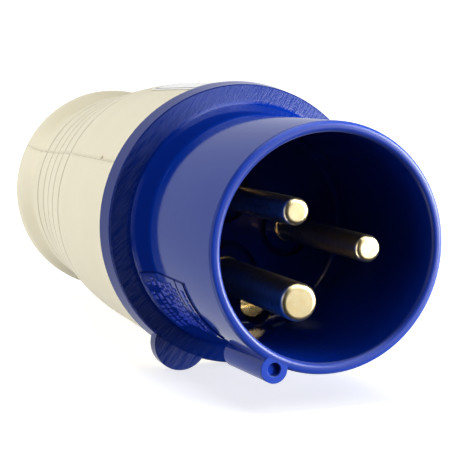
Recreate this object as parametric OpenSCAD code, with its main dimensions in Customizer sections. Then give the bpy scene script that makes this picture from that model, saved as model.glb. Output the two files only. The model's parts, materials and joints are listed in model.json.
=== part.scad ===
// Industrial pin and sleeve plug, two poles and earth, lying on its flange and lobe.
// The origin is the centre of the shroud's rim. The plug points along -Y and +Z is up.
// Each sub-part is drawn upright, with its own +Z running from the rim back to the cable
// entry and its own +Y pointing at the key, and place() lays it down in the row's frame.

/* [Shroud] */
// Outside diameter of the shroud that enters the mating sleeve
shroud_od = 45; // [44:0.1:47]
// Wall thickness of the shroud
shroud_wall = 2; // [1.7:0.1:2.4]
// Depth from the rim to the end wall
shroud_depth = 39.3; // [36:0.1:44]
// Thickness of the end wall that the pins pass through
end_wall = 4; // [3.4:0.1:5]
// Rounding of the rim's two edges
rim_round = 0.8; // [0.3:0.1:0.8]
// Rounding inside, where the shroud meets the end wall
corner_round = 1.2; // [0.4:0.1:1.2]

/* [Flange] */
// Outside diameter of the flange
flange_od = 58.2; // [57:0.1:64]
// Thickness of the flange at its edge
flange_t = 5; // [4:0.1:7]
// How far the flange's edge lies behind its root
flange_dish = 1.9; // [1:0.1:3]
// Draft of the flange's edge, from its front to its back
flange_draft = 0.6; // [0.2:0.1:1]
// Length of the cone between the shroud and the flange
cone_len = 6.4; // [4:0.1:9]
// Rise of the cone above the shroud
cone_rise = 2.1; // [1:0.1:3]

/* [Key and lobe] */
// Diameter of the round key bar at the rim
key_d = 5; // [4.4:0.1:5.6]
// Height of the key bar's axis above the shroud's surface, at the rim
key_lift = 0.8; // [0.4:0.1:1.4]
// Rise of the key bar's axis from the rim to its rear end
key_slope = 0.4; // [0:0.1:0.8]
// Draft of the key bar's radius from the rim to its rear end
key_draft = 0.15; // [0:0.05:0.3]
// Length of the key bar
key_len = 17.5; // [12:0.1:24]
// Radius of the lobe on the flange
lobe_r = 5.6; // [4.5:0.1:6.5]
// Distance of the lobe's own axis inside the flange's edge
lobe_inset = 2; // [1:0.1:3]
// Thickness of the lobe
lobe_t = 3; // [2.4:0.1:4]
// Angle of the lobe from the key
lobe_angle = 3.1; // [0:0.1:6]

/* [Marking pad] */
// Height of the plain marking pad above the shroud
pad_rise = 0.35; // [0.2:0.05:0.6]
// Distance from the rim to the pad
pad_start = 17.6; // [12:0.1:24]
// Angle of the pad's far edge from the key
pad_far = 43.5; // [30:0.5:60]
// Angle of the pad's near edge from the key
pad_near = 9; // [7:0.5:14]
// Width of the groove that splits the pad
pad_groove = 0.7; // [0.4:0.1:1.2]
// Width of the pad's front strip
pad_strip = 4.2; // [3:0.1:6]

/* [Pins] */
// Diameter of the line and neutral pins
pin_d = 5; // [4.8:0.1:5.4]
// Diameter of the earth pin
earth_d = 7; // [6.8:0.1:7.2]
// Distance of each pin's end behind the rim
pin_setback = 2.1; // [1:0.1:4]
// Distance of the line and neutral pins from the key's plane
pin_side = 7.9; // [7.4:0.1:8.4]
// Distance of the line and neutral pins behind the plug's axis, away from the key
pin_back = 3.3; // [3:0.1:4]
// Distance of the earth pin from the plug's axis, towards the key
earth_out = 10.8; // [10:0.1:11.2]
// Rounding of the pins' ends
pin_tip = 0.9; // [0.5:0.1:1.4]
// Step up from a pin's contact to its root
root_step = 0.2; // [0.1:0.05:0.4]
// Distance that the roots stand out of the end wall
root_proud = 0.5; // [0.3:0.1:1]
// Wall of the collar round each pin's root
collar_wall = 2.1; // [1.6:0.1:2.3]
// Width of the annular groove round each collar
collar_groove = 1.3; // [0.8:0.1:1.4]
// Depth of the annular groove
groove_depth = 2; // [1:0.1:2.6]

/* [Terminals] */
// Diameter of the line and neutral terminals
terminal_d = 8.4; // [8:0.1:8.8]
// Diameter of the earth terminal
earth_terminal_d = 9.4; // [9:0.1:9.6]
// Length of the terminals
terminal_len = 14; // [12:0.1:17]
// Diameter of the conductor's hole in a terminal
wire_d = 4.2; // [3.4:0.1:4.6]
// Depth of the conductor's hole
wire_depth = 10.5; // [9:0.1:11]
// Diameter of a terminal screw's shank
clamp_d = 4; // [3:0.1:4.2]
// Diameter of a terminal screw's head
clamp_head_d = 6; // [5.4:0.1:6.4]
// Height of a terminal screw's head
clamp_head_h = 2.2; // [1.8:0.1:2.6]
// Gap under a terminal screw's head, which its travel can close
clamp_gap = 1.2; // [1:0.1:1.6]
// Distance from a terminal's rear end to its screw
clamp_inset = 5.4; // [4.6:0.1:6.4]

/* [Carrier] */
// Thickness of the carrier's web that the terminals seat on
carrier_web = 3.6; // [3:0.1:4.4]
// Wall of the towers round the terminals
tower_wall = 1.2; // [1:0.1:1.2]
// Thickness of the carrier's ears, which the housing screws clamp
ear_t = 3; // [2.4:0.1:4]
// Thickness of the plate that keeps the pins in
plate_t = 2.5; // [2:0.1:3.5]
// Outside diameter of the plate
plate_d = 34; // [33:0.1:36]
// Diameter of the plate's screw
plate_screw_d = 3; // [2.5:0.1:3.4]

/* [Housing screws] */
// Diameter of a housing screw's shank
screw_d = 3.5; // [3:0.1:3.8]
// Diameter of a housing screw's head
screw_head_d = 6; // [5.6:0.1:6.2]
// Height of a housing screw's head
screw_head_h = 2.4; // [2:0.1:2.8]
// Length of a housing screw below its head
screw_len = 17.5; // [15:0.1:22]
// Distance from the plug's axis to the housing screws
screw_reach = 16.6; // [16.4:0.1:16.8]
// Angle of the lower housing screw from the key
screw_angle = 34.6; // [33:0.1:38]
// Depth of the screws' seats below the end wall's face
screw_sink = 5; // [4.4:0.1:6]
// Wall behind the screws' seats
seat_t = 2.5; // [2:0.1:3.5]
// Radial clearance round a screw's head in its counterbore
head_gap = 0.7; // [0.3:0.05:0.8]
// Wall round the counterbore and round the rear housing's posts
boss_wall = 1.5; // [1.2:0.1:1.7]

/* [Rear housing] */
// Step from the flange's edge down to the barrel behind it
barrel_step = 0.3; // [0.1:0.05:0.6]
// Draft of the barrel's radius along its straight part
barrel_draft = 0.5; // [0.2:0.1:0.8]
// Wall thickness of the rear housing
barrel_wall = 2.5; // [2:0.1:3]
// Length of the barrel's straight part
barrel_len = 30; // [24:0.5:40]
// Length of the tapering grip behind it
grip_len = 46.2; // [38:0.2:60]
// Diameter at the grip's rear end
grip_d = 50; // [47:0.5:52]
// Count of the grooves in the grip
groove_count = 5; // [3:1:6]
// Spacing of the grooves
groove_pitch = 8.2; // [6:0.1:8.6]
// Distance from the last groove to the grip's rear end
groove_end = 4.6; // [3:0.1:6]
// Width of a groove at the grip's surface
groove_w = 0.8; // [0.5:0.1:1.4]
// Depth of a groove
groove_cut = 0.5; // [0.3:0.1:0.9]
// Diameter of the waist between the grip and the rear collar
waist_d = 48; // [46:0.5:49]
// Diameter of the rear collar
rear_collar_d = 52.4; // [51:0.2:58]
// Length over which the grip falls to the waist
waist_len = 4.9; // [3.5:0.1:7]
// Length over which the waist rises to the rear collar's lip
flare_len = 8.1; // [6:0.1:11]
// Length of the lip behind it
lip_len = 3.2; // [2.4:0.1:5]
// Wall thickness of the rear collar
rear_collar_wall = 2.2; // [1.8:0.1:2.8]

/* [Joint between the housings] */
// Length of the front housing's spigot
spigot_len = 12; // [10:0.1:15]
// Wall thickness of the spigot
spigot_wall = 3; // [2.8:0.1:3.1]
// Thickness of the sealing ring
seal_t = 1.7; // [1.4:0.1:1.9]
// Distance from the flange to the sealing ring's middle
seal_at = 6; // [4:0.1:8]

/* [Cord clamp] */
// Diameter of the cord that the clamp and seal are made for
cord_d = 10; // [8:0.1:11]
// Distance from the plate to the cradle
cradle_off = 15; // [11:0.5:20]
// Length of the cradle and of the clamp
cradle_len = 10; // [8:0.5:13]
// Width of the cradle and of the clamp
cradle_w = 28; // [27:0.5:31]
// Distance from the cord's axis to the clamp's outer face
clamp_h = 9; // [8:0.1:10]
// Gap between the clamp and the cradle with no cord
jaw_gap = 2; // [1.6:0.1:3]
// Diameter of the clamp screws
jaw_screw_d = 3.5; // [3:0.1:4]

/* [Cable gland] */
// Outside diameter of the threaded neck
neck_d = 27; // [26:0.1:29]
// Length of the neck behind the partition
neck_len = 12.5; // [11:0.1:15]
// Outside diameter of the cable seal
gland_seal_d = 20; // [18:0.1:21]
// Length of the cable seal
gland_seal_len = 10; // [8:0.1:11]
// Thickness of the thrust washer
washer_t = 1.4; // [1:0.1:2]
// Outside diameter of the gland nut
nut_d = 33; // [32.6:0.1:36]
// Distance that the gland nut stands out behind the rear collar
nut_proud = 5.2; // [3:0.1:9]
// Count of the flutes round the gland nut
nut_flutes = 12; // [8:1:16]
// Thickness of the gland nut's end wall, in front of its flared mouth
nut_end = 3.4; // [2.6:0.1:4]
// Radial flare of the gland nut's mouth
nut_flare = 4.5; // [2:0.1:5]
// Diameter of the hole for the cord in the nut and the washer
entry_d = 14; // [12:0.1:15]
// Thickness of the partition inside the rear housing
partition_t = 3; // [2.4:0.1:4]

/* [Label] */
// Thickness of the blank label
label_t = 0.15; // [0.1:0.01:0.3]
// Length of the blank label along the barrel
label_len = 28; // [20:0.5:28]
// Angle that the blank label wraps round the barrel
label_wrap = 90; // [40:1:110]

/* [Clearances] */
// Radial gap between pieces that slide into each other
fit_gap = 0.15; // [0.1:0.01:0.2]
// Gap between flat faces that meet
face_gap = 0.1; // [0.05:0.01:0.15]
// Radial gap round screws in their threads, and round the pins
thread_gap = 0.03; // [0.02:0.01:0.06]
// Radial gap of the clearance holes that screws pass through
pass_gap = 0.2; // [0.15:0.01:0.3]
// Radial gap between the gland nut and the neck
nut_gap = 0.1; // [0.08:0.01:0.15]

/* [Hidden] */
$fn = 96;
cut = 0.5;           // overshoot of a cut past the face it opens
arc_steps = 6;       // straight steps in a rounded edge
grip_steps = 16;     // straight steps along the grip's curve
edge_break = 0.4;    // small chamfer on moulded edges
slot_w = 0.9;        // width of a screw's slot
slot_cut = 1;        // depth of a screw's slot
recess_r = 1.25;     // radius of the recess in the key bar's end
recess_depth = 1;
pad_bevel = 0.8;     // length of the bevel where the pad runs out on the cone
pilot_room = 2;      // depth of a pilot hole past its screw's tip

shroud_r = shroud_od / 2;
cavity_r = shroud_r - shroud_wall;
cone_s = shroud_depth - cone_len;
cone_r = shroud_r + cone_rise;
flange_r = flange_od / 2;
flange_s = shroud_depth + flange_dish;
flange_back = flange_s + flange_t;
lobe_reach = flange_r - lobe_inset;
wall_back = shroud_depth + end_wall;

barrel_r = flange_r - barrel_step;
barrel_in = barrel_r - barrel_wall;
barrel_s = flange_back + face_gap;
grip_s = barrel_s + barrel_len;
grip_end = grip_s + grip_len;
grip_r = grip_d / 2;
waist_r = waist_d / 2;
rear_r = rear_collar_d / 2;
flare_s = grip_end + waist_len;
lip_s = flare_s + flare_len;
rear_end = lip_s + lip_len;

spigot_r = barrel_in - fit_gap;
spigot_in = spigot_r - spigot_wall;
spigot_end = flange_back + spigot_len;
seal_r = seal_t / 2;
seal_s = flange_back + seal_at;
seal_ring_r = barrel_in - thread_gap - seal_r;
seal_floor = seal_ring_r - seal_r - thread_gap;
seal_room = 0.3;     // gap at each side of the sealing ring in its groove
groove_mouth = groove_w / 2 * (groove_cut + cut) / groove_cut;

head_r = screw_head_d / 2 + head_gap;
boss_r = head_r + boss_wall;
post_r = screw_d / 2 + boss_wall + fit_gap;
seat_s = shroud_depth + screw_sink;
boss_back = seat_s + seat_t;

carrier_s = wall_back + face_gap;
carrier_r = spigot_in - fit_gap;
seat_web = carrier_s + carrier_web;
deck = boss_back + face_gap + ear_t;
tower_end = seat_web + terminal_len + face_gap;
clamp_s = seat_web + terminal_len - clamp_inset;
plate_s = tower_end + face_gap;
plate_back = plate_s + plate_t;
post_s = deck + face_gap;

cradle_s = plate_back + cradle_off;
post_short = 0.7;    // the rear housing's posts end this far in front of the cradle
post_end = cradle_s - post_short;
arm_w = 3.5;         // width of the arms between the plate and the cradle
arm_y = 5;           // distance from the cord's axis to the arms
cradle_back = screw_reach * cos(screw_angle) - post_r - pass_gap;
jaw_r = cord_d / 2 + 1;              // the jaws close on the cord by 1 mm each
jaw_wall = 2.6;      // wall between the cord's channel and the clamp screws
jaw_x = jaw_r + jaw_wall + jaw_screw_d / 2;
jaw_head_d = 6;
jaw_head_h = 2.2;
jaw_screw_short = 2.5;               // the clamp screws end this far inside the cradle's back

partition_inset = 4; // distance of the partition in front of the grip's rear end
partition_s = grip_end - partition_inset;
partition_back = partition_s + partition_t;
neck_end = partition_back + neck_len;
gland_seal_r = gland_seal_d / 2;
seal_bore = gland_seal_r + thread_gap;
washer_s = neck_end - (washer_t - face_gap) / 2;
gland_seal_s = washer_s - face_gap - gland_seal_len;
nut_thrust = washer_s + washer_t + face_gap;
nut_relief = 3;      // room for the thread's run-out at both ends of the neck
nut_floor = neck_end + nut_relief;
nut_back = rear_end + nut_proud;
nut_front = partition_back + nut_relief;
nut_bore = neck_d / 2 + nut_gap;
nut_bevel = 2;       // bevel of the gland nut's rear edges
flute_r = 2;
flute_cut = 0.9;     // depth of a flute

plate_head_d = 5.6;
plate_head_h = 2;
plate_screw_len = 12;
screw_bite = 0.5;    // a terminal screw's tip enters the conductor's hole by this much

ejector_r = 2.3;     // radius of the moulded ejector mark on the end wall
ejector_at = [-1.7, 0.4];

// Poles: line, neutral and earth, each with its place, its diameters and its screw's direction
LINE = 0;
NEUTRAL = 1;
EARTH = 2;
pole_at = [[pin_side, -pin_back], [-pin_side, -pin_back], [0, earth_out]];
pole_d = [pin_d, pin_d, earth_d];
pole_terminal = [terminal_d, terminal_d, earth_terminal_d];
pole_turn = [0, 180, 90];

// The plug rolls about its axis until its flange and its lobe both touch the ground
rest_roll = acos((flange_r - lobe_r) / lobe_reach) - lobe_angle;

function arc(cx, cy, r, from, to) =
    [for (i = [0:arc_steps]) let (a = from + (to - from) * i / arc_steps) [cx + r * cos(a), cy + r * sin(a)]];
function ease(t) = (1 - cos(180 * t)) / 2;
function root_hole(i) = pole_d[i] / 2 + root_step + thread_gap;
// Outer radius of the barrel and its grip, and inner radius of the grip, at a distance from the rim
function barrel_radius(s) = s < grip_s
    ? barrel_r - barrel_draft * (s - barrel_s) / barrel_len
    : barrel_r - barrel_draft + (grip_r + barrel_draft - barrel_r) * ease((s - grip_s) / grip_len);
function chamber_radius(s) =
    barrel_in + (grip_r - barrel_wall - barrel_in) * ease((s - grip_s) / (partition_s - grip_s));
function groove_at(i) = grip_end - groove_end - (groove_count - 1 - i) * groove_pitch;

module place() rotate([-90, 0, 0]) rotate([0, 0, rest_roll]) children();
module at_pole(i) translate([pole_at[i][0], pole_at[i][1], 0]) children();
module at_screw(side) rotate([0, 0, side - screw_angle]) translate([0, screw_reach, 0]) children();
module tube(r, from, to) translate([0, 0, from]) cylinder(r = r, h = to - from);
// A box by its two corners
module block(a, b) translate(a) cube(b - a);

// A slotted screw along +Z with its head's underside at zero and its tip at -length
module slotted_screw(d, length, head_d, head_h) {
    difference() {
        union() {
            tube(d / 2, -length, 0);
            rotate_extrude() polygon(concat([[0, 0], [head_d / 2, 0]],
                arc(head_d / 2 - edge_break, head_h - edge_break, edge_break, 0, 90), [[0, head_h]]));
        }
        block([-head_d, -slot_w / 2, head_h - slot_cut], [head_d, slot_w / 2, head_h + cut]);
    }
}

module shroud_profile() {
    polygon(concat(
        arc(cavity_r + rim_round, rim_round, rim_round, 180, 270),
        arc(shroud_r - rim_round, rim_round, rim_round, 270, 360),
        [[shroud_r, cone_s], [cone_r, shroud_depth],
         [flange_r - flange_draft - edge_break / 2, flange_s], [flange_r - flange_draft, flange_s + edge_break],
         [flange_r, flange_back - edge_break / 2], [flange_r - edge_break / 2, flange_back],
         [spigot_r, flange_back],
         [spigot_r, spigot_end - edge_break], [spigot_r - edge_break, spigot_end],
         [spigot_in, spigot_end], [spigot_in, wall_back], [0, wall_back], [0, shroud_depth]],
        arc(cavity_r - corner_round, shroud_depth - corner_round, corner_round, 90, 0)));
}

// The pad follows the shroud and the cone at a constant height
module pad_profile() {
    polygon([[shroud_r - shroud_wall / 2, pad_start], [shroud_r + pad_rise, pad_start],
             [shroud_r + pad_rise, cone_s],
             [cone_r - cone_rise * pad_bevel / cone_len + pad_rise, shroud_depth - pad_bevel],
             [cone_r - shroud_wall / 2, shroud_depth], [shroud_r - shroud_wall / 2, cone_s + cone_len / 2]]);
}

// The key bar leans out a little towards its rear end, and its front is flush with the rim
module key_bar() {
    difference() {
        translate([0, shroud_r + key_lift, 0]) rotate([-atan(key_slope / key_len), 0, 0])
            translate([0, 0, -cut]) cylinder(r1 = key_d / 2, r2 = key_d / 2 + key_draft, h = key_len + cut);
        tube(2 * shroud_od, -2 * cut, 0);
        tube(shroud_r - shroud_wall / 2, -cut, key_len + cut);
    }
}

module front_housing() {
    color([0.09, 0.16, 0.55]) place() difference() {
        union() {
            rotate_extrude() shroud_profile();
            key_bar();
            difference() {
                rotate([0, 0, lobe_angle]) translate([0, lobe_reach, 0]) tube(lobe_r, flange_s, flange_s + lobe_t);
                tube(spigot_in, wall_back, flange_back);
            }
            // marking pad in two strips
            rotate([0, 0, 90 + pad_near]) rotate_extrude(angle = pad_far - pad_near) difference() {
                pad_profile();
                translate([shroud_r, pad_start + pad_strip]) square([pad_rise + cut, pad_groove]);
            }
            for (side = [0, 180]) at_screw(side) tube(boss_r, wall_back - cut, boss_back);
        }
        // recess in the key bar's end
        translate([0, shroud_r + key_lift, 0]) tube(recess_r, -cut, recess_depth);
        for (i = [LINE, NEUTRAL, EARTH]) at_pole(i) {
            tube(root_hole(i), shroud_depth - cut, wall_back + cut);
            difference() {
                tube(pole_d[i] / 2 + collar_wall + collar_groove, shroud_depth - cut, shroud_depth + groove_depth);
                tube(pole_d[i] / 2 + collar_wall, shroud_depth - 2 * cut, shroud_depth + groove_depth + cut);
            }
        }
        for (side = [0, 180]) at_screw(side) {
            tube(head_r, shroud_depth - cut, seat_s);
            tube(screw_d / 2 + pass_gap, seat_s - cut, boss_back + cut);
        }
        translate([ejector_at[0], ejector_at[1], 0]) tube(ejector_r, shroud_depth - cut, shroud_depth + edge_break / 2);
        rotate_extrude() translate([seal_floor, seal_s - seal_r - seal_room])
            square([spigot_r - seal_floor + cut, seal_t + 2 * seal_room]);
    }
}

module rear_profile() {
    lip = rear_collar_wall / 2;
    polygon(concat(
        // outside, from the flange to the rear collar's lip
        [[barrel_in, barrel_s], [barrel_r - edge_break, barrel_s], [barrel_r, barrel_s + edge_break]],
        [for (i = [0:grip_steps]) let (s = grip_s + grip_len * i / grip_steps) [barrel_radius(s), s]],
        [for (i = [0:arc_steps]) let (t = i / arc_steps)
            [waist_r + (grip_r - waist_r) * (1 - t) * (1 - t), grip_end + waist_len * t]],
        [for (i = [1:arc_steps]) let (t = i / arc_steps)
            [waist_r + (rear_r - waist_r) * ease(t), flare_s + flare_len * t]],
        arc(rear_r - lip, rear_end - lip, lip, 0, 180),
        // inside of the rear collar, then the partition, the neck and the gland's seat
        [[rear_r - rear_collar_wall, lip_s], [waist_r - rear_collar_wall, flare_s],
         [waist_r - rear_collar_wall, partition_back], [neck_d / 2, partition_back],
         [neck_d / 2, neck_end - edge_break], [neck_d / 2 - edge_break, neck_end],
         [seal_bore, neck_end], [seal_bore, gland_seal_s - face_gap], [entry_d / 2, gland_seal_s - face_gap],
         [entry_d / 2, partition_s]],
        // inside of the grip, back to the mouth
        [for (i = [grip_steps:-1:0]) let (s = grip_s + (partition_s - grip_s) * i / grip_steps)
            [chamber_radius(s), s]]));
}

module rear_housing() {
    color([0.93, 0.89, 0.78]) place() difference() {
        union() {
            rotate_extrude() rear_profile();
            for (side = [0, 180]) rotate([0, 0, side - screw_angle]) {
                translate([0, screw_reach, 0]) tube(post_r, post_s, post_end);
                block([-boss_wall, screw_reach, spigot_end + 2 * face_gap],
                      [boss_wall, barrel_in + barrel_wall / 2, post_end]);
            }
        }
        for (side = [0, 180]) at_screw(side) tube(screw_d / 2 + thread_gap, post_s - cut, seat_s + screw_len + pilot_room);
        for (i = [0:groove_count - 1]) let (s = groove_at(i)) rotate_extrude()
            polygon([[barrel_radius(s) - groove_cut, s], [barrel_radius(s) + cut, s - groove_mouth],
                     [barrel_radius(s) + cut, s + groove_mouth]]);
    }
}

module pin_carrier() {
    color([0.16, 0.17, 0.19]) place() difference() {
        union() {
            tube(carrier_r, carrier_s, deck);
            for (i = [LINE, NEUTRAL, EARTH]) at_pole(i)
                tube(pole_terminal[i] / 2 + fit_gap + tower_wall, deck - cut, tower_end);
        }
        for (i = [LINE, NEUTRAL, EARTH]) at_pole(i) {
            tube(root_hole(i), carrier_s - cut, seat_web + cut);
            tube(pole_terminal[i] / 2 + fit_gap, seat_web, tower_end + cut);
            // window for the terminal screw
            translate([0, 0, clamp_s]) rotate([0, 0, pole_turn[i]]) rotate([0, 90, 0])
                tube(clamp_head_d / 2 + pass_gap, 0, carrier_r);
        }
        for (side = [0, 180]) at_screw(side) {
            tube(boss_r + fit_gap, carrier_s - cut, boss_back + face_gap);
            tube(screw_d / 2 + pass_gap, carrier_s, deck + cut);
        }
        tube(plate_screw_d / 2 + thread_gap, plate_back - plate_screw_len - pilot_room, tower_end + cut);
    }
}

// A brass pin and its terminal, turned from one bar
module pin(i) {
    r = pole_d[i] / 2;
    rt = pole_terminal[i] / 2;
    back = seat_web + terminal_len;
    difference() {
        rotate_extrude() polygon(concat([[0, pin_setback]],
            arc(r - pin_tip, pin_setback + pin_tip, pin_tip, 270, 360),
            [[r, shroud_depth - root_proud], [r + root_step, shroud_depth - root_proud], [r + root_step, seat_web],
             [rt, seat_web], [rt, back - edge_break], [rt - edge_break, back], [0, back]]));
        tube(wire_d / 2, back - wire_depth, back + cut);
        translate([0, 0, clamp_s]) rotate([0, 0, pole_turn[i]]) rotate([0, 90, 0])
            tube(clamp_d / 2 + thread_gap, 0, rt + cut);
    }
}

module terminal_screw(i) {
    rt = pole_terminal[i] / 2;
    color([0.75, 0.72, 0.62]) place() at_pole(i) translate([0, 0, clamp_s]) rotate([0, 0, pole_turn[i]])
        rotate([0, 90, 0]) translate([0, 0, rt + clamp_gap])
            slotted_screw(clamp_d, rt + clamp_gap - wire_d / 2 + screw_bite, clamp_head_d, clamp_head_h);
}

module line_pin() color([0.85, 0.68, 0.32]) place() at_pole(LINE) pin(LINE);
module neutral_pin() color([0.85, 0.68, 0.32]) place() at_pole(NEUTRAL) pin(NEUTRAL);
module earth_pin() color([0.85, 0.68, 0.32]) place() at_pole(EARTH) pin(EARTH);
module line_terminal_screw() terminal_screw(LINE);
module neutral_terminal_screw() terminal_screw(NEUTRAL);
module earth_terminal_screw() terminal_screw(EARTH);

// The plate that keeps the pins in, with two arms that carry the cord's cradle
module pin_retainer() {
    color([0.16, 0.17, 0.19]) place() difference() {
        union() {
            tube(plate_d / 2, plate_s, plate_back);
            for (side = [-1, 1]) translate([side * (jaw_x - arm_w / 2), 0, 0])
                block([-arm_w / 2, arm_y, plate_back - cut], [arm_w / 2, cradle_back, cradle_s + cut]);
            block([-cradle_w / 2, jaw_gap / 2, cradle_s], [cradle_w / 2, cradle_back, cradle_s + cradle_len]);
        }
        tube(jaw_r, cradle_s - cut, cradle_s + cradle_len + cut);
        for (i = [LINE, NEUTRAL, EARTH]) at_pole(i) tube(wire_d / 2 + fit_gap, plate_s - cut, plate_back + cut);
        for (side = [0, 180]) at_screw(side) tube(post_r + 2 * fit_gap, plate_s - cut, plate_back + cut);
        tube(plate_screw_d / 2 + pass_gap, plate_s - cut, plate_back + cut);
        for (side = [-1, 1]) translate([side * jaw_x, 0, cradle_s + cradle_len / 2]) rotate([-90, 0, 0])
            tube(jaw_screw_d / 2 + thread_gap, 0, cradle_back + cut);
    }
}

module retainer_screw() {
    color([0.75, 0.72, 0.62]) place() translate([0, 0, plate_back])
        slotted_screw(plate_screw_d, plate_screw_len, plate_head_d, plate_head_h);
}

module housing_screw(side) {
    color([0.82, 0.7, 0.4]) place() at_screw(side) translate([0, 0, seat_s]) rotate([180, 0, 0])
        slotted_screw(screw_d, screw_len, screw_head_d, screw_head_h);
}

module lower_housing_screw() housing_screw(0);
module upper_housing_screw() housing_screw(180);

module housing_seal() {
    color([0.1, 0.1, 0.1]) place() translate([0, 0, seal_s])
        rotate_extrude() translate([seal_ring_r, 0]) circle(r = seal_r, $fn = 32);
}

module cord_clamp() {
    color([0.16, 0.17, 0.19]) place() difference() {
        block([-cradle_w / 2, -clamp_h, cradle_s], [cradle_w / 2, -jaw_gap / 2, cradle_s + cradle_len]);
        tube(jaw_r, cradle_s - cut, cradle_s + cradle_len + cut);
        for (side = [-1, 1]) translate([side * jaw_x, 0, cradle_s + cradle_len / 2]) rotate([90, 0, 0])
            tube(jaw_screw_d / 2 + pass_gap, 0, clamp_h + cut);
    }
}

module clamp_screw(side) {
    color([0.75, 0.72, 0.62]) place() translate([side * jaw_x, -clamp_h, cradle_s + cradle_len / 2])
        rotate([90, 0, 0])
            slotted_screw(jaw_screw_d, clamp_h + cradle_back - jaw_screw_short, jaw_head_d, jaw_head_h);
}

module left_clamp_screw() clamp_screw(-1);
module right_clamp_screw() clamp_screw(1);

module cable_seal() {
    color([0.13, 0.13, 0.13]) place() difference() {
        tube(gland_seal_r, gland_seal_s, gland_seal_s + gland_seal_len);
        tube(cord_d / 2, gland_seal_s - cut, gland_seal_s + gland_seal_len + cut);
    }
}

module thrust_washer() {
    color([0.9, 0.9, 0.88]) place() difference() {
        tube(gland_seal_r - fit_gap, washer_s, washer_s + washer_t);
        tube(entry_d / 2, washer_s - cut, washer_s + washer_t + cut);
    }
}

module gland_nut() {
    nut_r = nut_d / 2;
    entry_r = entry_d / 2;
    thrust_r = gland_seal_r - 2 * fit_gap;
    color([0.93, 0.89, 0.78]) place() difference() {
        rotate_extrude() polygon([[nut_bore, nut_front], [nut_r, nut_front], [nut_r, nut_back - nut_bevel],
            [nut_r - nut_bevel, nut_back], [entry_r + nut_flare, nut_back], [entry_r, nut_thrust + nut_end],
            [entry_r, nut_thrust], [thrust_r, nut_thrust], [thrust_r, nut_floor], [nut_bore, nut_floor]]);
        for (i = [0:nut_flutes - 1]) rotate([0, 0, 360 * i / nut_flutes])
            translate([nut_r + flute_r - flute_cut, 0, 0]) tube(flute_r, nut_front - cut, nut_back + cut);
    }
}

module blank_label() {
    front = barrel_s + (barrel_len - label_len) / 2;
    back = front + label_len;
    lift = thread_gap + label_t;
    color([0.95, 0.95, 0.95]) place() rotate([0, 0, -90 - label_wrap / 2]) rotate_extrude(angle = label_wrap)
        polygon([[barrel_radius(front) + thread_gap, front], [barrel_radius(front) + lift, front],
                 [barrel_radius(back) + lift, back], [barrel_radius(back) + thread_gap, back]]);
}

front_housing();
rear_housing();
pin_carrier();
line_pin();
neutral_pin();
earth_pin();
line_terminal_screw();
neutral_terminal_screw();
earth_terminal_screw();
pin_retainer();
retainer_screw();
lower_housing_screw();
upper_housing_screw();
housing_seal();
cord_clamp();
left_clamp_screw();
right_clamp_screw();
cable_seal();
thrust_washer();
gland_nut();
blank_label();
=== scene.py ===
"""Looks of the industrial pin and sleeve plug: moulded details, materials, floor, light and camera."""
import json
import math
import random

import bmesh
import bpy
from mathutils import Matrix, Vector
from mathutils.bvhtree import BVHTree


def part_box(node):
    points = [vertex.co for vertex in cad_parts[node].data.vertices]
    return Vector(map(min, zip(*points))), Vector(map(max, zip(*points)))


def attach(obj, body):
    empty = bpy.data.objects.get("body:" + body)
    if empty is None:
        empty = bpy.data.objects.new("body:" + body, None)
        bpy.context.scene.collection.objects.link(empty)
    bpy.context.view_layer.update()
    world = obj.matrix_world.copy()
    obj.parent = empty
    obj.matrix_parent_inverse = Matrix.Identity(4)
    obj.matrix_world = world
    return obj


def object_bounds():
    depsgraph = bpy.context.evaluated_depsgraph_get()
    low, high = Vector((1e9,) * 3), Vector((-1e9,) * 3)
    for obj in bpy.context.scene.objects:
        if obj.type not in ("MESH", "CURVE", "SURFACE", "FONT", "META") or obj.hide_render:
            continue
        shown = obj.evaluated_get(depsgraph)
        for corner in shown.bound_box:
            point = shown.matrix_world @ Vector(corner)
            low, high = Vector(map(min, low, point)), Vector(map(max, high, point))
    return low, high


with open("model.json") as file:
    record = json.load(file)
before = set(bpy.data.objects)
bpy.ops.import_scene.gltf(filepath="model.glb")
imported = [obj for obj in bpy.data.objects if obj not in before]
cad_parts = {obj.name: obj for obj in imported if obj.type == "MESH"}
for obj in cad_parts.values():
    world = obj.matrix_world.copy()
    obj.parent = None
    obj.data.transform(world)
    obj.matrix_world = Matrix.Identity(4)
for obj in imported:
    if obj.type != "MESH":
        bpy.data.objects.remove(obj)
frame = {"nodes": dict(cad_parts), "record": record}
cad_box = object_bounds()
NODES = frame["nodes"]
MOUNTS = {m["name"]: m for m in frame["record"]["mounts"]}
MM = 0.001

# ---- sizes and places ---------------------------------------------------------------------
# Lengths are in metres. Places run back from the shroud's rim along the plug's axis, and radii and
# angles go about that axis.

# The front housing
SHROUD = MOUNTS["mating_shroud"]["dims"]
SHROUD_RADIUS = SHROUD["r_mm"] * MM
SHROUD_DEPTH = SHROUD["length_mm"] * MM
CONE_LENGTH = 6.4 * MM
CONE_START = SHROUD_DEPTH - CONE_LENGTH
FLANGE_DISH = 1.9 * MM
FLANGE_FRONT = SHROUD_DEPTH + FLANGE_DISH
FLANGE_RADIUS = cad_box[1].x    # the flange is the widest round
EARTH_AT = MOUNTS["earth_contact"]["pos_m"]
KEY_ANGLE = math.atan2(EARTH_AT[2], EARTH_AT[0])

# The shroud's mould draft, which only the blue plastic's reflections show
DRAFT_ANGLE = math.radians(3.5)
DRAFT_END = CONE_START + 0.6 * MM

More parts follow.
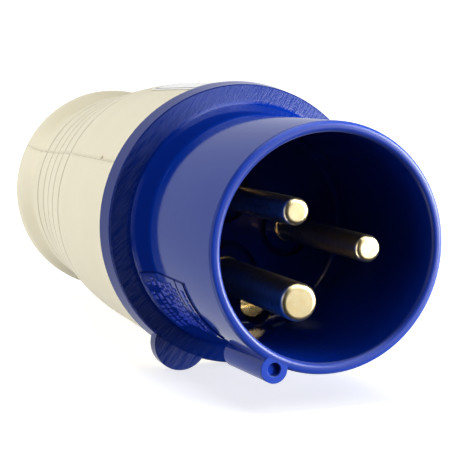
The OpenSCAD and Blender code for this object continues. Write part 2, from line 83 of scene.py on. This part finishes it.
# The marking pad's rows of dashes, one row by itself and the others evenly spaced
PAD_NEAR = KEY_ANGLE - math.radians(11)
PAD_FAR = KEY_ANGLE - math.radians(42)
LONE_ROW = 19.6 * MM
FIRST_ROW = 24.3 * MM
ROW_PITCH = 1.75 * MM
ROW_COUNT = 8
DASH_LENGTHS = (0.45 * MM, 0.7 * MM, 1.0 * MM, 1.5 * MM)
DASH_CHANCE = 0.9
DASH_WIDTH = 1.05 * MM
DASH_GAP = 0.38 * MM
DASH_HEIGHT = 0.24 * MM
DASH_SINK = 0.05 * MM

# The slit in the shroud: its middle, and how far its ends lie from it
SLIT_AT = 14.7 * MM
SLIT_ANGLE = KEY_ANGLE - math.radians(17.3)
SLIT_REACH = 0.35 * MM
SLIT_TURN = math.radians(2.4)
SLIT_STEPS = 4
SLIT_WIDTH = 0.45 * MM
SLIT_LIFT = -0.02 * MM
SLIT_THICKNESS = 0.05 * MM

# The rear housing's parting lines, and the nub beside one of them
SEAM_FRONT_GAP = 0.7 * MM
SEAM_BACK_GAP = 0.9 * MM
SEAM_STEPS = 120
SEAM_WIDTH = 0.34 * MM
SEAM_HEIGHT = 0.10 * MM
SEAM_SINK = 0.10 * MM
NUB_AT = 57.5 * MM
NUB_ANGLE = KEY_ANGLE - math.radians(90.8)
NUB_ALONG = 1.3 * MM
NUB_AROUND = 0.8 * MM
NUB_HEIGHT = 0.28 * MM
NUB_SINK = 0.1 * MM

# The label's border line, a little inside the label's edges
LABEL_HALF_ANGLE = math.radians(45)
BORDER_INSET_ANGLE = math.radians(1.6)
BORDER_INSET = 0.8 * MM
BORDER_STEPS = 24
BORDER_WIDTH = 0.28 * MM
BORDER_LIFT = 0.005 * MM
BORDER_THICKNESS = 0.02 * MM

# The camera of the photograph; its lens and sensor are in millimetres
CAMERA_AT = Vector((-0.10121, -0.21484, 0.02976))
CAMERA_TARGET = Vector((-0.00059, 0.04779, -0.00172))
CAMERA_ROLL = math.radians(0.286)
CAMERA_LENS = 106.5
CAMERA_SENSOR = 36

# The studio: softboxes at one distance from the plug's middle. Some have flags beside them, which
# let their light reach only the pieces named here.
LIGHT_TARGET = Vector((0, 0.06, 0))
LIGHT_DISTANCE = 1.0
FRONT_PIECES = ("front_housing", "marking_rows", "line_pin", "neutral_pin", "earth_pin")
REAR_PIECES = ("rear_housing", "gland_nut", "blank_label", "label_border", "gate_nub",
               "parting_line_left", "parting_line_right")
HOUSING_SCREWS = ("lower_housing_screw", "upper_housing_screw")
WORLD_GLOW = 0.02
FLOOR_SIZE = 6


# ---- places on the plug -------------------------------------------------------------------

def on_axis(y, radius, angle):
    """A point at a distance behind the rim, and a radius and angle about the plug's axis."""
    return Vector((radius * math.cos(angle), y, radius * math.sin(angle)))


def spaced(start, end, steps):
    """Evenly spaced values from start to end, both included."""
    return [start + (end - start) * i / steps for i in range(steps + 1)]


def straight_path(start, end, steps):
    """Evenly spaced (y, angle) points from start to end."""
    return list(zip(spaced(start[0], end[0], steps), spaced(start[1], end[1], steps)))


def tree_of(node):
    """A CAD node's surface, for casting rays at."""
    obj = NODES[node]
    mesh = bmesh.new()
    mesh.from_mesh(obj.data)
    mesh.transform(obj.matrix_world)
    tree = BVHTree.FromBMesh(mesh)
    mesh.free()
    return tree


def surface_radius(tree, y, angle):
    """Radius of the outermost surface at a distance behind the rim and an angle."""
    ray_start = on_axis(y, 2 * FLANGE_RADIUS, angle)
    hit, *_ = tree.ray_cast(ray_start, -on_axis(0, 1, angle))
    return math.hypot(hit.x, hit.z)


# ---- pieces -------------------------------------------------------------------------------

def add_piece(name, mesh, body, material, smooth=True):
    """Makes a bmesh into a piece that rides on a body."""
    bmesh.ops.recalc_face_normals(mesh, faces=mesh.faces)
    mesh.normal_update()
    data = bpy.data.meshes.new(name)
    mesh.to_mesh(data)
    mesh.free()
    for face in data.polygons:
        face.use_smooth = smooth
    obj = bpy.data.objects.new(name, data)
    bpy.context.collection.objects.link(obj)
    data.materials.append(material)
    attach(obj, body)
    return obj


def capped_tube(mesh, rings):
    """Faces between rings of points, and one over each end."""
    made = [[mesh.verts.new(point) for point in ring] for ring in rings]
    for a, b in zip(made, made[1:]):
        for i in range(len(a)):
            after = (i + 1) % len(a)
            mesh.faces.new((a[i], a[after], b[after], b[i]))
    mesh.faces.new(made[0])
    mesh.faces.new(made[-1])


def ridge_along(mesh, tree, angle, ys, width, height, sink):
    """A low ridge that follows a surface along the plug's axis and tapers out at its ends."""
    taper_steps = 2
    crown_share = 0.4
    rings = []
    for i, y in enumerate(ys):
        radius = surface_radius(tree, y, angle)
        from_end = min(i, len(ys) - 1 - i)
        top = radius + height * min(1, from_end / taper_steps)
        half = width / 2 / radius
        crown = half * crown_share
        rings.append([on_axis(y, radius - sink, angle - half), on_axis(y, radius, angle - half),
                      on_axis(y, top, angle - crown), on_axis(y, top, angle + crown),
                      on_axis(y, radius, angle + half), on_axis(y, radius - sink, angle + half)])
    capped_tube(mesh, rings)


def raised_patch(mesh, tree, y, angle, along, around, height, sink):
    """A small raised mark with bevelled sides on a round surface.

    Its sizes are along the plug's axis and around it."""
    shoulder, top_share = height * 0.5, 0.7
    rings = []
    for level, share in ((-sink, 1.0), (shoulder, 1.0), (height, top_share)):
        ring = []
        for side_y, side_a in ((-1, -1), (1, -1), (1, 1), (-1, 1)):
            corner_y = y + side_y * along / 2 * share
            radius = surface_radius(tree, corner_y, angle)
            ring.append(on_axis(corner_y, radius + level, angle + side_a * around / 2 * share / radius))
        rings.append(ring)
    capped_tube(mesh, rings)


def strip_on_surface(mesh, tree, path, width, lift, thickness):
    """A flat thin strip on a surface along a path of (y, angle) points."""
    places = [Vector((y, angle * surface_radius(tree, y, angle))) for y, angle in path]
    rings = []
    for i, (y, angle) in enumerate(path):
        before, after = places[max(i - 1, 0)], places[min(i + 1, len(path) - 1)]
        along = (after - before).normalized()
        side = Vector((-along.y, along.x)) * width / 2
        radius = surface_radius(tree, y, angle)
        ring = []
        for sign, level in ((-1, lift), (1, lift), (1, lift + thickness), (-1, lift + thickness)):
            ring.append(on_axis(y + sign * side.x, radius + level, angle + sign * side.y / radius))
        rings.append(ring)
    capped_tube(mesh, rings)


# ---- materials ----------------------------------------------------------------------------

class Graph:
    """A short way to write a material's nodes.

    A keyword that names one of the shader's sockets has _ in place of each space."""

    def __init__(self, name, roughness=0.5, metallic=0.0, **sockets):
        self.material = bpy.data.materials.new(name)
        self.material.use_nodes = True
        self.tree = self.material.node_tree
        self.shader = self.tree.nodes["Principled BSDF"]
        self.shader.inputs["Roughness"].default_value = roughness
        self.shader.inputs["Metallic"].default_value = metallic
        for socket, value in sockets.items():
            self.shader.inputs[socket.replace("_", " ")].default_value = value
        self.coords = self.node("ShaderNodeTexCoord").outputs["Object"]

    def node(self, kind, inputs=None, **settings):
        """A node whose inputs are linked to other nodes' sockets, or set to plain values."""
        made = self.tree.nodes.new(kind)
        for key, value in settings.items():
            setattr(made, key, value)
        for key, value in (inputs or {}).items():
            if isinstance(value, bpy.types.NodeSocket):
                self.tree.links.new(value, made.inputs[key])
            else:
                made.inputs[key].default_value = value
        return made

    def stretched(self, scale, turn=(0, 0, 0)):
        """Coordinates turned first and then stretched, for noise that runs in lines."""
        turned = self.node("ShaderNodeMapping", {"Vector": self.coords, "Rotation": turn}).outputs[0]
        return self.node("ShaderNodeMapping", {"Vector": turned, "Scale": scale}).outputs[0]

    def noise(self, scale, detail=3.0, coords=None, roughness=0.55):
        inputs = {"Vector": coords or self.coords, "Scale": scale, "Detail": detail,
                  "Roughness": roughness}
        return self.node("ShaderNodeTexNoise", inputs).outputs["Fac"]

    def shades(self, value, low, high, start=0.3, end=0.7):
        """The colour low up to the value start, and high from end on."""
        made = self.node("ShaderNodeValToRGB", {"Fac": value})
        for stop, place, colour in zip(made.color_ramp.elements, (start, end), (low, high)):
            stop.position = place
            stop.color = (*colour, 1)
        return made.outputs["Color"]

    def span(self, value, low, high, from_low=0.0, from_high=1.0):
        """The range from_low to from_high turned into low to high, and held beyond its ends."""
        inputs = {"Value": value, "From Min": from_low, "From Max": from_high,
                  "To Min": low, "To Max": high}
        return self.node("ShaderNodeMapRange", inputs).outputs["Result"]

    def past(self, value, start, end):
        """A mask that is 0 up to start and 1 from end on."""
        return self.span(value, 0, 1, start, end)

    def before(self, value, start, end):
        """A mask that is 1 up to start and 0 from end on."""
        return self.span(value, 1, 0, start, end)

    def math(self, operation, a, b):
        return self.node("ShaderNodeMath", {0: a, 1: b}, operation=operation).outputs[0]

    def times(self, a, b):
        return self.math("MULTIPLY", a, b)

    def blend(self, share, under, over):
        """The colours of the socket under, with a share of the plain colour over laid on them."""
        made = self.node("ShaderNodeMix", {"Factor": share}, data_type="RGBA")
        first, second = (socket for socket in made.inputs if socket.type == "RGBA")
        self.tree.links.new(under, first)
        second.default_value = (*over, 1)
        return next(socket for socket in made.outputs if socket.type == "RGBA")

    def length_of(self, vector):
        return self.node("ShaderNodeVectorMath", {0: vector}, operation="LENGTH").outputs["Value"]

    def axis_parts(self):
        """The plug's own coordinates: distance behind the rim, and radius."""
        parts = self.node("ShaderNodeSeparateXYZ", {"Vector": self.coords}).outputs
        flat = self.node("ShaderNodeCombineXYZ", {"X": parts["X"], "Z": parts["Z"]}).outputs[0]
        return parts["Y"], self.length_of(flat)

    def soft_edges(self, radius):
        return self.node("ShaderNodeBevel", {"Radius": radius}, samples=4).outputs["Normal"]

    def bump(self, height, strength, distance, normal=None):
        inputs = {"Height": height, "Strength": strength, "Distance": distance}
        if normal is not None:
            inputs["Normal"] = normal
        return self.node("ShaderNodeBump", inputs).outputs["Normal"]

    def finish(self, colour, roughness=None, normal=None, **sockets):
        links = {"Base Color": colour, "Roughness": roughness, "Normal": normal, **sockets}
        for socket, value in links.items():
            if value is not None:
                self.tree.links.new(value, self.shader.inputs[socket.replace("_", " ")])
        return self.material


def blue_plastic():
    """Glossy moulded polyamide: worn dull at the rim, finely scratched on the flange.

    The shroud, cone and flange differ a little in shade, to follow the photograph's light."""
    g = Graph("blue_plastic", IOR=1.5)
    behind, radius = g.axis_parts()
    rim = g.before(behind, 0.6 * MM, 1.4 * MM)
    # The shroud, face and lobe masks place the painted light and painted shade below; the face mask
    # also places the scratches
    shroud = g.times(g.before(behind, CONE_START + 0.1 * MM, CONE_START + 1.1 * MM),
                     g.past(radius, SHROUD_RADIUS - 0.9 * MM, SHROUD_RADIUS - 0.5 * MM))
    face = g.times(g.past(behind, SHROUD_DEPTH - 0.8 * MM, SHROUD_DEPTH + 0.2 * MM),
                   g.before(behind, FLANGE_FRONT + 0.05 * MM, FLANGE_FRONT + 0.35 * MM))
    face = g.times(face, g.past(radius, SHROUD_RADIUS + 2.0 * MM, SHROUD_RADIUS + 3.0 * MM))
    lobe = g.past(radius, FLANGE_RADIUS + 0.2 * MM, FLANGE_RADIUS + 0.5 * MM)

    colour = g.shades(g.noise(45), (0.0008, 0.0205, 0.200), (0.0014, 0.0255, 0.232))
    # Painted shade: the flange's face and lobe get a darker blue. Painted light: the shroud's outside
    # gets a lighter blue than the cone
    colour = g.blend(g.math("MAXIMUM", face, lobe), colour, (0.0012, 0.0190, 0.160))
    colour = g.blend(shroud, colour, (0.0012, 0.0350, 0.300))

    fine = g.noise(900, 2.0)
    scratches = g.noise(1.0, 2.0, g.stretched((2600, 300, 260), (0, math.radians(-40), 0)), 0.7)
    scratched = g.times(face, g.span(scratches, 0.18, 0.50, 0.35, 0.65))
    duller = g.math("ADD", scratched, g.times(rim, 0.26))
    roughness = g.math("ADD", g.span(fine, 0.08, 0.12), duller)

    # The draft leans the normals from the rim to the cone, and the fine marks lie on top of it
    draft = DRAFT_END * math.tan(DRAFT_ANGLE)
    drafted = g.bump(g.past(behind, 0, DRAFT_END), 1.0, draft, g.soft_edges(0.25 * MM))
    bumped = g.bump(fine, 0.06, 0.08 * MM, drafted)
    marked = g.bump(g.times(scratches, face), 0.65, 0.18 * MM, bumped)
    return g.finish(colour, roughness, marked, Sheen_Weight=g.times(rim, 0.20))


def pad_plastic():
    """The marking pad's raised marks, rougher than the blue plastic and painted a lighter blue, as
    painted light on them.
    """
    g = Graph("pad_marks", IOR=1.5)
    # Painted light: a lighter copy of the blue plastic on the raised marks
    colour = g.shades(g.noise(200), (0.014, 0.042, 0.400), (0.022, 0.060, 0.500))
    return g.finish(colour, g.span(g.noise(800), 0.25, 0.40), g.soft_edges(0.1 * MM))


def cream_plastic():
    """Satin thermoplastic: faint clouding, a few dark specks, painted shade in its hollows and a fine
    texture.
    """
    g = Graph("cream_plastic", IOR=1.46, Subsurface_Weight=0.08,
              Subsurface_Radius=(0.004, 0.003, 0.0015))
    colour = g.shades(g.noise(28, 4.0), (0.685, 0.633, 0.475), (0.750, 0.700, 0.545))
    cells = g.node("ShaderNodeTexVoronoi", {"Vector": g.coords, "Scale": 95.0, "Randomness": 1.0})
    small = g.math("LESS_THAN", cells.outputs["Distance"], 0.030)
    rare = g.math("GREATER_THAN", g.noise(41), 0.56)
    colour = g.blend(g.times(small, rare), colour, (0.16, 0.12, 0.07))
    # Painted shade: the colour darkens where ambient occlusion finds grooves and hollows
    openness = g.node("ShaderNodeAmbientOcclusion", {"Distance": 1.2 * MM}, samples=8).outputs["AO"]
    colour = g.blend(g.span(openness, 0.9, 0.0, 0.50, 1.0), colour, (0.33, 0.28, 0.18))
    texture = g.bump(g.noise(1300, 2.0), 0.10, 0.06 * MM, g.soft_edges(0.3 * MM))
    return g.finish(colour, g.span(g.noise(220), 0.36, 0.52), texture)


def metal(name, low, high, rough, lines, relief=0.12, depth=0.03 * MM):
    """Metal between two shades, faintly mottled, with fine marks from its making.

    The marks are noise with a scale for each axis, and run where that scale is small: round a turned
    pin, along a screw, or nowhere in an even grain."""
    g = Graph(name, metallic=1.0)
    colour = g.shades(g.noise(700), low, high)
    marks = g.noise(1.0, 2.0, g.stretched(lines), 0.6)
    roughness = g.math("ADD", g.span(marks, rough, rough + 0.10), g.span(g.noise(500), 0.0, 0.05))
    return g.finish(colour, roughness, g.bump(marks, relief, depth, g.soft_edges(0.15 * MM)))


def matt(name, low, high, rough, grain=900, depth=0.05 * MM, **sockets):
    """A dull surface between two shades, with a fine grain and larger patches in tone and gloss."""
    g = Graph(name, **sockets)
    colour = g.shades(g.noise(grain / 8), low, high, 0.35, 0.65)
    roughness = g.span(g.noise(grain / 3), rough, rough + 0.12)
    return g.finish(colour, roughness, g.bump(g.noise(grain), 0.2, depth))


def floor_material():
    """Pale and matt, with a glow that grows away from the plug, so that the floor stays even."""
    g = Graph("pale_floor", roughness=0.65, Emission_Color=(1, 1, 1, 1))
    colour = g.shades(g.noise(3), (0.60, 0.60, 0.60), (0.63, 0.63, 0.63))
    return g.finish(colour, Emission_Strength=g.span(g.length_of(g.coords), 0.62, 1.0, 0.15, 0.60))


materials = {
    "blue_plastic": blue_plastic(),
    "cream_plastic": cream_plastic(),
    "carrier_plastic": matt("carrier_plastic", (0.030, 0.031, 0.035), (0.045, 0.046, 0.050), 0.45),
    "brass": metal("brass", (0.88, 0.72, 0.40), (0.95, 0.83, 0.54), 0.22, (120, 2600, 120)),
    "zinc_steel": metal("zinc_steel", (0.62, 0.58, 0.50), (0.80, 0.76, 0.66), 0.16,
                        (900, 900, 900), relief=1.0, depth=0.22 * MM),
    "yellow_steel": metal("yellow_steel", (0.72, 0.52, 0.20), (0.85, 0.70, 0.40), 0.20,
                          (900, 200, 900)),
    "black_rubber": matt("black_rubber", (0.018, 0.018, 0.018), (0.030, 0.030, 0.030), 0.60),
    "white_washer": matt("white_washer", (0.72, 0.72, 0.69), (0.80, 0.80, 0.77), 0.40),
    "label_film": matt("label_film", (0.88, 0.88, 0.87), (0.92, 0.92, 0.91), 0.28,
                       grain=400, depth=0.02 * MM),
}
pad_marks = pad_plastic()
ink = matt("border_ink", (0.020, 0.020, 0.025), (0.040, 0.040, 0.045), 0.40)
# Painted shade: the slit's dark, unreflecting strip stands for the shade inside the slit
slit_shade = matt("slit_shade", (0.001, 0.002, 0.006), (0.003, 0.004, 0.012), 0.60,
                  Specular_IOR_Level=0)


def dress_cad_nodes():
    for part in frame["record"]["subparts"]:
        obj = NODES[part["node"]]
        obj.data.materials.clear()
        obj.data.materials.append(materials[part["material_slot"]])


# ---- moulded details ----------------------------------------------------------------------

def marking_rows():
    """Rows of plain raised dashes on the marking pad: generic, with no lettering."""
    tree = tree_of("front_housing")
    random.seed(7)
    mesh = bmesh.new()
    for y in [LONE_ROW] + [FIRST_ROW + ROW_PITCH * i for i in range(ROW_COUNT)]:
        angle = PAD_NEAR
        while angle > PAD_FAR:
            length = random.choice(DASH_LENGTHS)
            radius = surface_radius(tree, y, angle)
            step = length / radius
            if angle - step < PAD_FAR:
                break
            if random.random() < DASH_CHANCE:
                middle = angle - step / 2
                raised_patch(mesh, tree, y, middle, DASH_WIDTH, length, DASH_HEIGHT, DASH_SINK)
            angle -= step + DASH_GAP / radius
    add_piece("marking_rows", mesh, "plug", pad_marks, smooth=False)


def shroud_slit():
    """The short slit in the shroud in front of the pad: a thin dark strip on the surface, its shade
    painted.
    """
    mesh = bmesh.new()
    path = straight_path((SLIT_AT + SLIT_REACH, SLIT_ANGLE + SLIT_TURN),
                         (SLIT_AT - SLIT_REACH, SLIT_ANGLE - SLIT_TURN), SLIT_STEPS)
    strip_on_surface(mesh, tree_of("front_housing"), path, SLIT_WIDTH, SLIT_LIFT, SLIT_THICKNESS)
    add_piece("shroud_slit", mesh, "plug", slit_shade, smooth=False)


def parting_lines():
    """The rear housing's mould parting line, on both sides, square to the key."""
    tree = tree_of("rear_housing")
    low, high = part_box("rear_housing")
    ys = spaced(low.y + SEAM_FRONT_GAP, high.y - SEAM_BACK_GAP, SEAM_STEPS)
    for side, turn in (("left", -90), ("right", 90)):
        mesh = bmesh.new()
        angle = KEY_ANGLE + math.radians(turn)
        ridge_along(mesh, tree, angle, ys, SEAM_WIDTH, SEAM_HEIGHT, SEAM_SINK)
        add_piece("parting_line_" + side, mesh, "plug", materials["cream_plastic"])


def gate_nub():
    """The small nub that the mould's gate left beside the parting line."""
    mesh = bmesh.new()
    raised_patch(mesh, tree_of("rear_housing"), NUB_AT, NUB_ANGLE,
                 NUB_ALONG, NUB_AROUND, NUB_HEIGHT, NUB_SINK)
    obj = add_piece("gate_nub", mesh, "plug", materials["cream_plastic"])
    soften = obj.modifiers.new("soften", "SUBSURF")
    soften.levels = soften.render_levels = 2


def label_border():
    """A thin dark line round the blank label, which lies opposite the key."""
    tree = tree_of("blank_label")
    low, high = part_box("blank_label")
    centre = KEY_ANGLE + math.pi
    half = LABEL_HALF_ANGLE - BORDER_INSET_ANGLE
    left, right = centre - half, centre + half
    front, back = low.y + BORDER_INSET, high.y - BORDER_INSET
    sides = (((front, left), (front, right)), ((back, left), (back, right)),
             ((front, left), (back, left)), ((front, right), (back, right)))
    mesh = bmesh.new()
    for start, end in sides:
        path = straight_path(start, end, BORDER_STEPS)
        strip_on_surface(mesh, tree, path, BORDER_WIDTH, BORDER_LIFT, BORDER_THICKNESS)
    add_piece("label_border", mesh, "plug", ink, smooth=False)


# ---- floor, light and camera --------------------------------------------------------------

def add_floor():
    """A plain floor under the plug, which sends it no bounced light, reflection or shadow."""
    bpy.ops.mesh.primitive_plane_add(size=FLOOR_SIZE, location=(0, 0, cad_box[0].z))
    floor = bpy.context.object
    floor.name = "floor"
    floor.data.materials.append(floor_material())
    floor.visible_diffuse = floor.visible_glossy = floor.visible_shadow = False


def look_at(obj, target, roll=0.0):
    turn = (target - obj.location).to_track_quat("-Z", "Y").to_matrix()
    obj.rotation_mode = "QUATERNION"
    obj.rotation_quaternion = (turn @ Matrix.Rotation(roll, 3, "Z")).to_quaternion()


def add_softbox(name, azimuth, elevation, size, power, lit=None):
    """A softbox that faces the plug from a direction in degrees.

    Azimuth 0 is in front of the rim, and 90 at +X. The names in lit are the only pieces that it
    lights, as if flags kept it off the others."""
    turn, lift = math.radians(azimuth), math.radians(elevation)
    away = Vector((math.sin(turn) * math.cos(lift), -math.cos(turn) * math.cos(lift), math.sin(lift)))
    data = bpy.data.lights.new(name, "AREA")
    data.shape = "RECTANGLE"
    data.size, data.size_y = size
    data.energy = power
    light = bpy.data.objects.new(name, data)
    light.location = LIGHT_TARGET + LIGHT_DISTANCE * away
    light.visible_camera = False
    look_at(light, LIGHT_TARGET)
    bpy.context.collection.objects.link(light)
    if lit:
        receivers = bpy.data.collections.new(name + "_receivers")
        for piece in lit:
            receivers.objects.link(NODES.get(piece) or bpy.data.objects[piece])
        light.light_linking.receiver_collection = receivers


def add_lights():
    add_softbox("backdrop", azimuth=186, elevation=-3, size=(1.50, 1.45), power=4.3)
    add_softbox("top_softbox", azimuth=0, elevation=88, size=(0.8, 0.8), power=6.2)
    add_softbox("left_softbox", azimuth=276, elevation=8, size=(0.7, 0.7), power=2.6)
    add_softbox("left_low_softbox", azimuth=272, elevation=-38, size=(0.7, 0.7), power=5.2)
    add_softbox("rear_left_softbox", azimuth=240, elevation=12, size=(0.8, 0.8), power=3.2,
                lit=REAR_PIECES)
    add_softbox("front_softbox", azimuth=49, elevation=9, size=(0.5, 0.6), power=23.0,
                lit=FRONT_PIECES)
    add_softbox("screw_light", azimuth=18, elevation=4, size=(0.25, 0.25), power=2.5,
                lit=HOUSING_SCREWS)
    add_softbox("front_top_card", azimuth=13, elevation=43, size=(0.5, 0.5), power=2.5)
    add_softbox("right_softbox", azimuth=110, elevation=-5, size=(0.7, 0.9), power=5.5)


def add_world():
    """White where the camera looks past the floor, and nearly dark for everything else."""
    world = bpy.data.worlds.new("studio")
    bpy.context.scene.world = world
    world.use_nodes = True
    nodes, links = world.node_tree.nodes, world.node_tree.links
    seen, dark = nodes["Background"], nodes.new("ShaderNodeBackground")
    for shade, level in ((seen, 1.0), (dark, WORLD_GLOW)):
        shade.inputs["Color"].default_value = (1, 1, 1, 1)
        shade.inputs["Strength"].default_value = level
    ray, mix = nodes.new("ShaderNodeLightPath"), nodes.new("ShaderNodeMixShader")
    links.new(ray.outputs["Is Camera Ray"], mix.inputs[0])
    links.new(dark.outputs[0], mix.inputs[1])
    links.new(seen.outputs[0], mix.inputs[2])
    links.new(mix.outputs[0], nodes["World Output"].inputs["Surface"])


def add_camera():
    data = bpy.data.cameras.new("camera")
    data.sensor_width = CAMERA_SENSOR
    data.lens = CAMERA_LENS
    data.clip_start, data.clip_end = 0.01, 20
    camera = bpy.data.objects.new("camera", data)
    camera.location = CAMERA_AT
    look_at(camera, CAMERA_TARGET, CAMERA_ROLL)
    bpy.context.collection.objects.link(camera)
    bpy.context.scene.camera = camera


def set_view():
    view = bpy.context.scene.view_settings
    view.view_transform = "Standard"
    view.look = "Medium High Contrast"


add_camera()
dress_cad_nodes()
marking_rows()
shroud_slit()
parting_lines()
gate_nub()
label_border()
add_floor()
add_lights()
add_world()
set_view()
